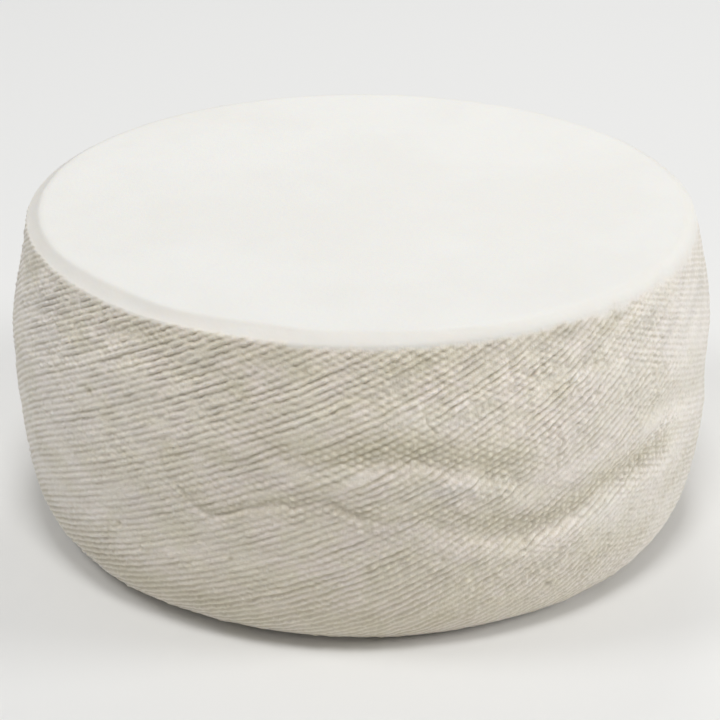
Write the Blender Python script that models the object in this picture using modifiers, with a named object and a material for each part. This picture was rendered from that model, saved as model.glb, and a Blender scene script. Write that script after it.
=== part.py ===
"""Whole wheel of semi-hard cheese, pressed in a cloth.

Metres, +Z up. The wheel stands on its flat base, and the origin is the
centre of that base. Angles round the wheel are counted from the front (-Y),
positive towards +X. A drop is a distance down the side, measured along the
surface from the corner of the rim.
"""
import math

import bpy
import numpy as np

# ------------------------------------------------------------ driving sizes
BELLY_RADIUS = 0.1000       # widest ring of the side
BELLY_LEVEL = 0.0617        # its height above the base
WHEEL_HEIGHT = 0.0925       # level of the top face
TOP_RADIUS = 0.0896         # edge of the flat top face
RIM_RADIUS = 0.0949         # outer corner of the pressed rim
RIM_LEVEL = 0.0900          # its height
BASE_RADIUS = 0.0770        # flat ring that the wheel rests on
LOWER_FULLNESS = 2.574      # how late the side starts to turn in below the belly
LOWER_ROUNDNESS = 3.757     # how tightly it then turns under to the base
UPPER_TAPER = 1.10          # curve of the side from the belly to the rim

STEPS_ROUND = 96            # segments round the wheel
SIDE_ROWS = 33              # rows down the side
TOP_RINGS = (0.033, 0.064)  # rings inside the top face

# Rim: a flat pressed bevel at the front left, a soft roll everywhere else.
ROLL_LIFT = 0.0009          # how far the roll stands above the bevel
BEVEL_FROM, BEVEL_TO = -118.0, 26.0   # degrees
BEVEL_BLEND = 30.0                    # degrees over which one becomes the other

# Folds that the cloth left in the side. Each one is a shallow trough with a
# swelling above and below it: (angle, drop) along the trough in degrees and
# metres, then depth, half-width, swelling above, swelling below, in metres.
FOLDS = (
    (((-24, 0.018), (-10, 0.0265), (0, 0.0305), (10, 0.0310), (18, 0.0345), (25, 0.0430)),
     0.0013, 0.0040, 0.0006, 0.0008),
    (((7, 0.049), (17, 0.0540), (27, 0.0575), (37, 0.0560), (46, 0.0505), (60, 0.0485)),
     0.0014, 0.0042, 0.0007, 0.0009),
    (((46, 0.030), (58, 0.0345), (68, 0.0405), (80, 0.0460), (92, 0.0470)),
     0.0011, 0.0050, 0.0005, 0.0006),
    (((-34, 0.039), (-24, 0.0480), (-16, 0.0445), (-10, 0.0400)),
     0.0006, 0.0035, 0.0002, 0.0003),
    (((-96, 0.030), (-86, 0.0400), (-76, 0.0430), (-66, 0.0400)),
     0.0006, 0.0050, 0.0003, 0.0003),
    (((112, 0.052), (126, 0.0470), (142, 0.0390), (160, 0.0370)),
     0.0012, 0.0046, 0.0006, 0.0007),
    (((-172, 0.030), (-158, 0.0350), (-142, 0.0450), (-124, 0.0490)),
     0.0012, 0.0044, 0.0006, 0.0007),
)

# Slow unevenness of the pressed side: (waves round, phase in degrees,
# amplitude in metres, change of phase from rim to base in degrees).
UNEVEN = ((2, 35.0, 0.00030, 40.0), (3, 190.0, 0.00035, -60.0), (5, 75.0, 0.00025, 90.0))

RIND = (0.86, 0.83, 0.75, 1.0)


def side_radius(z):
    """Radius of the plain side at height z (metres, array)."""
    z = np.asarray(z, dtype=float)
    low = np.clip((BELLY_LEVEL - z) / BELLY_LEVEL, 0.0, 1.0)
    below = BASE_RADIUS + (BELLY_RADIUS - BASE_RADIUS) * (
        1.0 - low ** LOWER_FULLNESS) ** (1.0 / LOWER_ROUNDNESS)
    high = np.clip((z - BELLY_LEVEL) / (RIM_LEVEL - BELLY_LEVEL), 0.0, 1.0)
    above = BELLY_RADIUS - (BELLY_RADIUS - RIM_RADIUS) * high ** UPPER_TAPER
    return np.where(z < BELLY_LEVEL, below, above)


def side_curve():
    """Height and drop along the side, finely sampled from rim to base."""
    z = np.linspace(RIM_LEVEL, 0.0, 6000)
    r = side_radius(z)
    drop = np.concatenate(([0.0], np.cumsum(np.hypot(np.diff(z), np.diff(r)))))
    return z, r, drop


def wheel_profile():
    """Half outline from the middle of the top, out and down to the base."""
    points = [(0.0, WHEEL_HEIGHT)]
    points += [(ring, WHEEL_HEIGHT) for ring in TOP_RINGS]
    points.append((TOP_RADIUS, WHEEL_HEIGHT))
    # straight bevel from the top face to the corner of the rim
    for part in (0.45, 0.80):
        points.append((TOP_RADIUS + (RIM_RADIUS - TOP_RADIUS) * part,
                       WHEEL_HEIGHT - (WHEEL_HEIGHT - RIM_LEVEL) * part))
    z, r, drop = side_curve()
    for row in range(SIDE_ROWS + 1):
        at = drop[-1] * row / SIDE_ROWS
        points.append((float(np.interp(at, drop, r)), float(np.interp(at, drop, z))))
    points.append((0.0, 0.0))
    return points


def smooth_step(x):
    x = np.clip(x, 0.0, 1.0)
    return x * x * (3.0 - 2.0 * x)


def bevel_share(angle):
    """1 where the rim is a flat bevel, 0 where it is a soft roll."""
    return (smooth_step((angle - BEVEL_FROM) / BEVEL_BLEND + 0.5)
            * smooth_step((BEVEL_TO - angle) / BEVEL_BLEND + 0.5))


def fold_relief(angle, drop):
    """Outward swelling (metres) that the folds give the side."""
    out = np.zeros_like(angle)
    for path, depth, half, above, below in FOLDS:
        ends = [math.radians(a) for a, _ in path]
        first, last = math.degrees(ends[0]), math.degrees(ends[-1])
        # smooth path through its corners: cubic blend between neighbours
        line = np.zeros_like(angle)
        for (a0, d0), (a1, d1) in zip(path[:-1], path[1:]):
            inside = (angle >= a0) & (angle <= a1)
            share = smooth_step((angle - a0) / (a1 - a0)) * 0.5 \
                + np.clip((angle - a0) / (a1 - a0), 0.0, 1.0) * 0.5
            line = np.where(inside, d0 + (d1 - d0) * share, line)
        fade = smooth_step((angle - first) / 9.0) * smooth_step((last - angle) / 9.0)
        off = (drop - line) / half
        shape = (-depth * np.exp(-off ** 2)
                 + above * np.exp(-((off + 1.9) / 1.3) ** 2)
                 + below * np.exp(-((off - 1.5) / 0.9) ** 2))
        out += np.where(fade > 0.0, fade * shape, 0.0)
    return out


def uneven_relief(angle, drop, length):
    out = np.zeros_like(angle)
    for waves, phase, size, turn in UNEVEN:
        out += size * np.sin(np.radians(waves * angle + phase + turn * drop / length))
    return out


def press_side(mesh):
    """Push the turned wheel's vertices into the cloth-pressed form."""
    count = len(mesh.vertices)
    co = np.empty(count * 3)
    mesh.vertices.foreach_get("co", co)
    co = co.reshape(-1, 3)
    x, y, z = co[:, 0], co[:, 1], co[:, 2]
    radius = np.hypot(x, y)
    angle = np.degrees(np.arctan2(x, -y))
    heights, _, drops = side_curve()
    drop = np.interp(z, heights[::-1], drops[::-1])
    length = drops[-1]

    on_side = (z <= RIM_LEVEL + 1e-6) & (z > 1e-6) & (radius > BASE_RADIUS * 0.99)
    hold = smooth_step(drop / 0.010) * smooth_step((length - drop) / 0.012)
    push = (fold_relief(angle, drop) + uneven_relief(angle, drop, length)) * hold
    push = np.where(on_side, push, 0.0)
    scale = np.where(radius > 1e-9, (radius + push) / np.maximum(radius, 1e-9), 1.0)
    co[:, 0] = x * scale
    co[:, 1] = y * scale

    band = (radius > TOP_RADIUS * 1.001) & (z > RIM_LEVEL + 1e-5)
    along = np.clip((radius - TOP_RADIUS) / (RIM_RADIUS - TOP_RADIUS), 0.0, 1.0)
    lift = ROLL_LIFT * np.sin(math.pi * along) * (1.0 - bevel_share(angle))
    co[:, 2] = z + np.where(band, lift, 0.0)

    mesh.vertices.foreach_set("co", co.ravel())
    mesh.update()


def clear_scene():
    for item in list(bpy.data.objects):
        bpy.data.objects.remove(item, do_unlink=True)


def rind_material():
    material = bpy.data.materials.new("rind")
    material.use_nodes = True
    shader = material.node_tree.nodes["Principled BSDF"]
    shader.inputs["Base Color"].default_value = RIND
    shader.inputs["Roughness"].default_value = 0.62
    shader.inputs["Metallic"].default_value = 0.0
    material.diffuse_color = RIND
    return material


def build():
    clear_scene()
    collection = bpy.data.collections.new("semi_hard_cheese")
    bpy.context.scene.collection.children.link(collection)

    # turned wheel
    profile = wheel_profile()
    line = bpy.data.meshes.new("wheel_profile")
    line.from_pydata([(r, 0.0, z) for r, z in profile],
                     [(i, i + 1) for i in range(len(profile) - 1)], [])
    turned = bpy.data.objects.new("wheel_profile", line)
    collection.objects.link(turned)
    screw = turned.modifiers.new("turn", "SCREW")
    screw.axis = "Z"
    screw.angle = math.tau
    screw.steps = STEPS_ROUND
    screw.render_steps = STEPS_ROUND
    screw.use_merge_vertices = True
    screw.merge_threshold = 0.00001
    screw.use_smooth_shade = True

    bpy.context.view_layer.update()
    graph = bpy.context.evaluated_depsgraph_get()
    mesh = bpy.data.meshes.new_from_object(turned.evaluated_get(graph))
    bpy.data.objects.remove(turned, do_unlink=True)

    # the cloth's folds and the rim's two forms
    press_side(mesh)
    mesh.name = "cheese_wheel"
    wheel = bpy.data.objects.new("cheese_wheel", mesh)
    collection.objects.link(wheel)
    mesh.materials.clear()
    mesh.materials.append(rind_material())
    mesh.shade_smooth()
    mesh.set_sharp_from_angle(angle=math.radians(40.0))
    return wheel


build()
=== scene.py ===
"""Looks of the whole semi-hard cheese: a pressed wheel with the cloth's imprint.

Sizes below are in millimetres unless a name says otherwise. Angles go round
the wheel from the front (-Y), positive towards +X. A drop is a distance down
the side, measured along the surface from the outer corner of the rim.
"""
import math

import bpy
import numpy as np
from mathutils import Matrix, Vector


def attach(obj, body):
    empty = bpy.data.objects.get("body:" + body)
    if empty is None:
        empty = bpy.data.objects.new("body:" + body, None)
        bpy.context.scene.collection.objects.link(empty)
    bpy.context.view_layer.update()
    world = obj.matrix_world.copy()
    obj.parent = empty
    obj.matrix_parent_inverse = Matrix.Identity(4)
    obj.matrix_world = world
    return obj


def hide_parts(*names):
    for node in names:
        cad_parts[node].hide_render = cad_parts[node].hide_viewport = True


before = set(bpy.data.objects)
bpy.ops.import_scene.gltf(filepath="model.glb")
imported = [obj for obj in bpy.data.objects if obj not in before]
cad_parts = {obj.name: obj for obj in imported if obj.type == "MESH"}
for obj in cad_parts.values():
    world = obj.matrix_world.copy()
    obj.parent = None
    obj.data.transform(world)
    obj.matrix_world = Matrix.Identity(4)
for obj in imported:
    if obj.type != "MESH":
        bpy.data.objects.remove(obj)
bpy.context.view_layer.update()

# ------------------------------------------------------------------ the wheel
BELLY_R = 100.0
BELLY_Z = 61.7
TOP_Z = 92.5
RIM_R = 94.9
RIM_Z = 90.0
BASE_R = 77.0
FULLNESS = 2.574
ROUNDNESS = 3.757
TAPER = 1.10
TURN = 2 * math.pi * BELLY_R      # length once round the belly

COLUMNS = 1600                    # mesh columns round the side
CORE_R = 84.0                     # inside this the top is a coarser mesh


def smooth(x):
    x = np.clip(x, 0.0, 1.0)
    return x * x * (3 - 2 * x)


def knots(x, pairs, wrap=None):
    """Smooth curve through a few (position, value) pairs."""
    a = np.array([p[0] for p in pairs], float)
    d = np.array([p[1] for p in pairs], float)
    if wrap:
        a = np.concatenate((a[-2:] - wrap, a, a[:2] + wrap))
        d = np.concatenate((d[-2:], d, d[:2]))
    h = np.diff(a)
    m = np.diff(d) / h
    t = np.zeros_like(d)
    t[1:-1] = (m[:-1] * h[1:] + m[1:] * h[:-1]) / (h[:-1] + h[1:])
    t[0], t[-1] = m[0], m[-1]
    q = np.clip(x, a[0], a[-1])
    k = np.clip(np.searchsorted(a, q, side="right") - 1, 0, len(h) - 1)
    f = (q - a[k]) / h[k]
    return ((2 * f**3 - 3 * f**2 + 1) * d[k] + (f**3 - 2 * f**2 + f) * h[k] * t[k]
            + (-2 * f**3 + 3 * f**2) * d[k + 1] + (f**3 - f**2) * h[k] * t[k + 1])


def noise(x, s, cell_x, cell_s, seed):
    """Gradient noise, about -1..1, which closes on itself once round."""
    nx = max(1, int(round(TURN / cell_x)))
    u = (x / TURN) * nx
    v = s / cell_s + 64.0
    rng = np.random.RandomState(seed)
    rows = int(math.ceil(float(v.max()))) + 3
    a = rng.rand(rows, nx) * 2 * math.pi
    gx, gy = np.cos(a), np.sin(a)
    iu = np.floor(u).astype(np.int64)
    iv = np.floor(v).astype(np.int64)
    fu, fv = u - iu, v - iv
    i0, i1 = iu % nx, (iu + 1) % nx
    wu = fu * fu * fu * (fu * (fu * 6 - 15) + 10)
    wv = fv * fv * fv * (fv * (fv * 6 - 15) + 10)
    n00 = gx[iv, i0] * fu + gy[iv, i0] * fv
    n10 = gx[iv, i1] * (fu - 1) + gy[iv, i1] * fv
    n01 = gx[iv + 1, i0] * fu + gy[iv + 1, i0] * (fv - 1)
    n11 = gx[iv + 1, i1] * (fu - 1) + gy[iv + 1, i1] * (fv - 1)
    a = n00 + (n10 - n00) * wu
    b = n01 + (n11 - n01) * wu
    return (a + (b - a) * wv) * 1.5


def flat_noise(x, y, cell, seed):
    """The same kind of noise on a flat face."""
    size = 64
    rng = np.random.RandomState(seed)
    a = rng.rand(size, size) * 2 * math.pi
    gx, gy = np.cos(a), np.sin(a)
    u, v = x / cell + 31.3, y / cell + 29.7
    iu, iv = np.floor(u).astype(np.int64), np.floor(v).astype(np.int64)
    fu, fv = u - iu, v - iv
    wu = fu * fu * fu * (fu * (fu * 6 - 15) + 10)
    wv = fv * fv * fv * (fv * (fv * 6 - 15) + 10)
    i0, i1, j0, j1 = iu % size, (iu + 1) % size, iv % size, (iv + 1) % size
    n00 = gx[j0, i0] * fu + gy[j0, i0] * fv
    n10 = gx[j0, i1] * (fu - 1) + gy[j0, i1] * fv
    n01 = gx[j1, i0] * fu + gy[j1, i0] * (fv - 1)
    n11 = gx[j1, i1] * (fu - 1) + gy[j1, i1] * (fv - 1)
    a = n00 + (n10 - n00) * wu
    b = n01 + (n11 - n01) * wu
    return (a + (b - a) * wv) * 1.5


def pick(i, seed, cells=4096):
    """One number 0..1 for each thread."""
    return np.random.RandomState(seed).rand(cells)[i % cells]


def pick2(i, j, seed):
    """One number 0..1 for each crossing of two threads."""
    return np.random.RandomState(seed).rand(509, 503)[i % 509, j % 503]


# ---------------------------------------------------------- the plain profile
def side_radius(z):
    low = np.clip((BELLY_Z - z) / BELLY_Z, 0.0, 1.0)
    below = BASE_R + (BELLY_R - BASE_R) * (1.0 - low**FULLNESS) ** (1.0 / ROUNDNESS)
    high = np.clip((z - BELLY_Z) / (RIM_Z - BELLY_Z), 0.0, 1.0)
    above = BELLY_R - (BELLY_R - RIM_R) * high**TAPER
    return np.where(z < BELLY_Z, below, above)


_z = np.linspace(RIM_Z, 0.0, 12001)
_r = side_radius(_z)
_drop = np.concatenate(([0.0], np.cumsum(np.hypot(np.diff(_z), np.diff(_r)))))
SIDE = float(_drop[-1])


def side_point(drop):
    """Radius, height and outward normal of the plain side at a drop."""
    step = 0.4
    z = np.interp(drop, _drop, _z)
    r = side_radius(z)
    za, zb = np.interp(drop - step, _drop, _z), np.interp(drop + step, _drop, _z)
    ra, rb = side_radius(za), side_radius(zb)
    nr, nz = za - zb, rb - ra
    size = np.maximum(np.hypot(nr, nz), 1e-9)
    return r, z, nr / size, nz / size


# ------------------------------------------------------------------- the rim
# Edge of the flat top face, and how far the smooth rim reaches down the side.
TOP_EDGE = ((-168, 88.6), (-140, 89.4), (-110, 90.6), (-84, 90.6), (-65, 90.3), (-54, 89.0),
            (-42, 88.8), (-34, 89.6), (-25, 88.8), (-17, 88.0), (-9, 89.3), (0, 89.4),
            (12, 90.4), (24, 91.6), (45, 91.0), (80, 90.4), (110, 90.6), (145, 89.6), (170, 88.6))
SMOOTH_TO = ((-165, -1.0), (-120, -0.8), (-90, -0.9), (-50, -0.9), (-40, -0.6), (-35, -0.7), (-20, -1.2), (-10, -0.5),
             (0, -0.1), (10, 0.0), (18, -0.2), (24, -0.1), (34, -0.2), (50, -0.5), (62, -0.5), (78, -0.6),
             (110, -0.6), (150, -0.9))
BEVEL = ((0, 0.0), (0.12, -0.15), (0.35, -0.83), (0.60, -1.47), (0.80, -1.86), (0.90, -2.02),
         (0.96, -2.18), (1.0, -2.50))
ROLL_R = 4.6                      # radius of the soft roll
RIM_ROWS = 26
RIM_ARC = 5.8                     # length across the rim, for the cloth's imprint on it


def bevel_share(ang):
    """1 where the rim is a pressed bevel with a lip, 0 where it is a soft roll."""
    return knots(ang, ((-175, 0.85), (-140, 0.85), (-112, 0.95), (-92, 1.0), (-60, 1.0), (-24, 0.95),
                       (-4, 0.55), (12, 0.42), (27, 0.05), (45, 0.0), (80, 0.0), (120, 0.55),
                       (155, 0.85)), wrap=360)


# How far the rim is pressed inwards, by angle; it dies out down the side.
PRESSED_IN = ((-180, 0.2), (-130, 0.6), (-102, 0.55), (-82, 0.25), (-60, 0.3), (-30, 0.1), (30, 0.1), (70, 0.1),
              (100, 0.4), (140, 0.5))


def rim_height(ang, radius, edge):
    q = np.clip((radius - edge) / (RIM_R - edge), 0.0, 1.0)     # radius as if the rim weren't pressed in
    bevel = TOP_Z + knots(q, BEVEL)
    mid = RIM_R - 0.965 * ROLL_R
    over = np.clip(radius - mid, 0.0, ROLL_R * 0.999)
    roll = TOP_Z - ROLL_R + np.sqrt(ROLL_R**2 - over**2)
    # both forms end on the corner of the rim
    roll = roll + (RIM_Z - (TOP_Z - ROLL_R + math.sqrt(ROLL_R**2 - (RIM_R - mid) ** 2))) * q**2
    share = bevel_share(ang)
    x = np.radians(ang) * BELLY_R
    dents = 0.12 * noise(x, q * 5, 10, 5.0, 96) + 0.07 * noise(x, q * 5, 4.5, 4.0, 97)
    return bevel * share + roll * (1 - share) + dents * np.sin(math.pi * q) ** 0.7


# ------------------------------------------------- folds pressed by the cloth
FOLDS = (
    dict(path=((-21, 24.0), (-14, 28.4), (-7, 31.8), (0, 31.0), (6, 31.0), (12, 32.4), (18, 35.8), (25, 40.4), (33, 44.0)),
         depth=0.66, up=5.4, down=3.0, above=0.28, below=0.40, net=1.0, olive_and_painted_shade=1.0, fade=(15, 16)),
    dict(path=((3, 46.6), (9, 49.6), (15.5, 52.8), (22, 56.2), (28, 57.4), (33, 55.8), (38.5, 52.2), (44, 49.6), (50, 49.2), (57, 50.4), (70, 53.5)),
         depth=0.82, up=4.8, down=3.2, above=0.18, below=0.52, net=1.0, olive_and_painted_shade=1.0, fade=(20, 22)),
    dict(path=((36, 26.0), (48, 31.5), (56, 34.4), (65, 38.4), (76, 44.0), (92, 48.0)),
         depth=0.42, up=4.6, down=3.4, above=0.15, below=0.24, net=0.2, olive_and_painted_shade=0.5, fade=(20, 16)),
    dict(path=((-33, 38.0), (-29.5, 42.0), (-26.4, 47.0), (-23.4, 49.6), (-18.6, 46.8), (-14.0, 44.2), (-9.0, 43.2), (-5.6, 41.8),
               (-3.4, 43.0), (-1.6, 45.0), (0.8, 47.0), (4.0, 48.0), (10.0, 47.6)),
         depth=0.40, up=1.6, down=1.1, above=0.10, below=0.12, net=1.0, net_at=0.4, olive_and_painted_shade=0.8, fade=(8, 8)),
    dict(path=((-100, 31.0), (-88, 38.0), (-78, 41.5), (-68, 40.0)),
         depth=0.16, up=5.0, down=3.4, above=0.10, below=0.10, net=0.0, olive_and_painted_shade=0.1, fade=(10, 10)),
    dict(path=((104, 54.0), (118, 50.5), (132, 43.0), (146, 38.5), (162, 37.0)),
         depth=0.85, up=5.0, down=3.0, above=0.30, below=0.46, net=0.9, olive_and_painted_shade=0.9, fade=(13, 15)),
    dict(path=((118, 20.0), (130, 25.5), (144, 27.0), (156, 24.0)),
         depth=0.45, up=4.0, down=2.6, above=0.18, below=0.25, net=0.6, olive_and_painted_shade=0.5, fade=(10, 10)),
    dict(path=((-176, 29.0), (-164, 33.0), (-150, 41.0), (-138, 47.5), (-122, 49.0)),
         depth=0.80, up=5.0, down=3.0, above=0.30, below=0.46, net=0.9, olive_and_painted_shade=0.9, fade=(13, 15)),
    dict(path=((-150, 60.0), (-136, 63.5), (-120, 60.5), (-108, 57.0)),
         depth=0.50, up=4.2, down=2.6, above=0.22, below=0.30, net=0.5, olive_and_painted_shade=0.5, fade=(10, 10)),
)


def fold_field(ang, s):
    """Relief of the folds, where they draw the threads into a net, and where olive colour and painted shade darken the
    upper side of each trough.
    """
    h = np.zeros_like(ang)
    net = np.zeros_like(ang)
    olive_and_painted_shade = np.zeros_like(ang)
    x = np.radians(ang) * BELLY_R
    strength = 1 + 0.55 * noise(x, s, 15, 11, 81) + 0.40 * noise(x, s, 6, 4.5, 80)
    wander = (0.7 * noise(x, s * 0 + 5.0, 16, 40, 82) + 0.4 * noise(x, s * 0 + 5.0, 6, 40, 83)
              + 0.45 * noise(x, s, 4, 4, 85))
    for f in FOLDS:
        a0, a1 = f["path"][0][0], f["path"][-1][0]
        near = (ang > a0) & (ang < a1)
        if not near.any():
            continue
        a, d = ang[near], s[near]
        fade = smooth((a - a0) / f["fade"][0]) * smooth((a1 - a) / f["fade"][1])
        d = d - knots(a, f["path"]) + wander[near]
        half = np.where(d < 0, f["up"], f["down"])
        trough = np.exp(-(d / half) ** 2)
        up = np.exp(-((d + 1.9 * f["up"]) / (1.3 * f["up"])) ** 2)
        down = np.exp(-((d - 1.7 * f["down"]) / (1.2 * f["down"])) ** 2)
        h[near] += fade * strength[near] * (-f["depth"] * trough + f["above"] * up + f["below"] * down)
        net[near] = np.maximum(net[near], f["net"] * fade * np.exp(-((d - f.get("net_at", -2.8)) / 4.6) ** 2))
        # painted shade: olive colour on the upper side of each trough, which faces down
        shade = np.exp(-((d + 0.75 * f["up"]) / (0.95 * f["up"])) ** 2)
        olive_and_painted_shade[near] = np.maximum(olive_and_painted_shade[near], f["olive_and_painted_shade"] * fade * shade)
    return h, net, olive_and_painted_shade


# -------------------------------------------------------- threads of the cloth
# Two families of threads cross: A rises to the right, B falls. Each list gives
# threads per millimetre at that angle, across (at the rim) and down the side.
ACROSS_A = ((-180, 0.250), (-120, 0.268), (-90, 0.296), (-72, 0.294), (-60, 0.288), (-50, 0.270), (-35, 0.258), (-20, 0.240),
            (-5, 0.214), (5, 0.216), (15, 0.226), (25, 0.252), (35, 0.266), (45, 0.275), (65, 0.270), (100, 0.250),
            (140, 0.240))
DOWN_A = ((-180, 0.500), (-110, 0.515), (-65, 0.527), (-50, 0.510), (-35, 0.492), (-20, 0.477), (-5, 0.470),
          (5, 0.472), (15, 0.482), (25, 0.487), (35, 0.490), (60, 0.494), (110, 0.500))
ACROSS_B = ((-180, 0.250), (-60, 0.250), (0, 0.255), (25, 0.252), (35, 0.262), (45, 0.258), (55, 0.236), (65, 0.222),
            (80, 0.216), (110, 0.240), (150, 0.250))
DOWN_B = ((-180, 0.490), (-60, 0.480), (-5, 0.476), (5, 0.474), (15, 0.468), (25, 0.484), (35, 0.500), (45, 0.522),
          (55, 0.545), (65, 0.556), (80, 0.556), (110, 0.510), (150, 0.490))


def threads_round(pairs):
    """Threads counted from the back seam round to each angle; a whole number of fours in all."""
    fine = np.linspace(-180.0, 180.0, 7201)
    step = TURN / 7200
    rate = knots(fine, pairs, wrap=360)
    run = np.concatenate(([0.0], np.cumsum(0.5 * (rate[1:] + rate[:-1]) * step)))
    count = 4 * int(round(run[-1] / 4))
    behind = smooth((np.abs(fine) - 95) / 30)
    share = np.concatenate(([0.0], np.cumsum(0.5 * (behind[1:] + behind[:-1]))))
    run = run + (count - run[-1]) * share / share[-1]
    return fine, run, count


FINE, ROUND_A, COUNT_A = threads_round(ACROSS_A)
FINE, ROUND_B, COUNT_B = threads_round(ACROSS_B)

# Where the imprint is faint, drawn out along the threads that rise to the
# right: angle, drop, half length in degrees, half width, share that is lost.
FAINT = (
    (-1.8, 36.8, 5.0, 1.5, 0.70), (-6.5, 24.4, 4.0, 1.2, 0.6), (4.8, 19.4, 2.6, 1.2, 0.6), (-14.0, 40.3, 3.0, 1.2, 0.5),
    (29.5, 41.0, 3.0, 2.2, 0.40), (33.0, 41.6, 2.6, 2.2, 0.45), (25.5, 47.0, 4.0, 1.5, 0.45), (-41.0, 51.5, 3.5, 3.6, 0.75), (9.0, 21.0, 2.2, 1.6, 0.4),
    (52.0, 37.5, 4.4, 3.2, 0.75), (62.0, 30.0, 8.0, 6.0, 0.25), (-8.0, 33.5, 4.0, 1.3, 0.6), (40.0, 66.0, 12.0, 6.0, 0.25),
    (-15.0, 77.0, 6.0, 2.4, 0.5), (56.0, 60.0, 9.0, 6.0, 0.25), (10.0, 79.0, 5.0, 2.4, 0.5), (-31.0, 27.0, 2.5, 1.4, 0.5),
    (-24.0, 33.0, 3.4, 1.2, 0.45), (-47.0, 40.0, 4.0, 1.6, 0.4), (14.0, 13.0, 3.0, 1.2, 0.4), (-27.0, 62.0, 4.0, 1.5, 0.4),
    (120.0, 35.0, 6.0, 4.0, 0.8), (150.0, 62.0, 9.0, 6.0, 0.6), (-130.0, 30.0, 6.0, 3.4, 0.7),
    (-165.0, 55.0, 8.0, 5.0, 0.6), (178.0, 20.0, 5.0, 4.0, 0.5), (-105.0, 66.0, 9.0, 5.0, 0.5),
)


# Where it is stronger or weaker over a wider place: angle, drop, half sizes, gain.
STRONGER = (
    (50.0, 46.0, 7.0, 6.0, 0.50), (30.0, 44.0, 7.0, 7.0, -0.30), (-20.0, 40.0, 9.0, 12.0, -0.14), (25.0, 20.0, 13.0, 10.0, 0.34), (-40.0, 17.0, 12.0, 10.0, -0.14), (-4.0, 44.0, 8.0, 5.0, 0.18),
    (-58.0, 6.0, 18.0, 9.0, 0.22), (-9.0, 12.0, 6.0, 14.0, 0.32), (-72.0, 50.0, 12.0, 14.0, 0.28), (20.0, 80.0, 8.0, 8.0, -0.24),
    (-50.0, 79.0, 8.0, 7.0, 0.45), (60.0, 74.0, 8.0, 11.0, -0.30), (68.0, 26.0, 12.0, 24.0, -0.08), (18.0, 39.5, 8.0, 4.0, 0.30),
    (-1.0, 11.0, 9.0, 7.0, -0.10), (17.0, 10.0, 7.0, 7.0, -0.12), (-38.0, 22.0, 10.0, 7.0, -0.08), (-70.0, 20.0, 9.0, 16.0, 0.10), (-66.0, 7.0, 14.0, 8.0, 0.16), (-50.0, 54.0, 10.0, 15.0, -0.12), (38.0, 8.0, 7.0, 6.0, -0.18),
)


def imprint_start(ang, s):
    """Drop at which the imprint begins: an uneven line along the rim."""
    x = np.radians(ang) * BELLY_R
    return (knots(ang, SMOOTH_TO, wrap=360) + (0.5 + 0.9 * smooth((ang - 24) / 16)) * noise(x, s, 5, 5, 63)
            + 0.35 * noise(x, s, 2, 3, 65))


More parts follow.
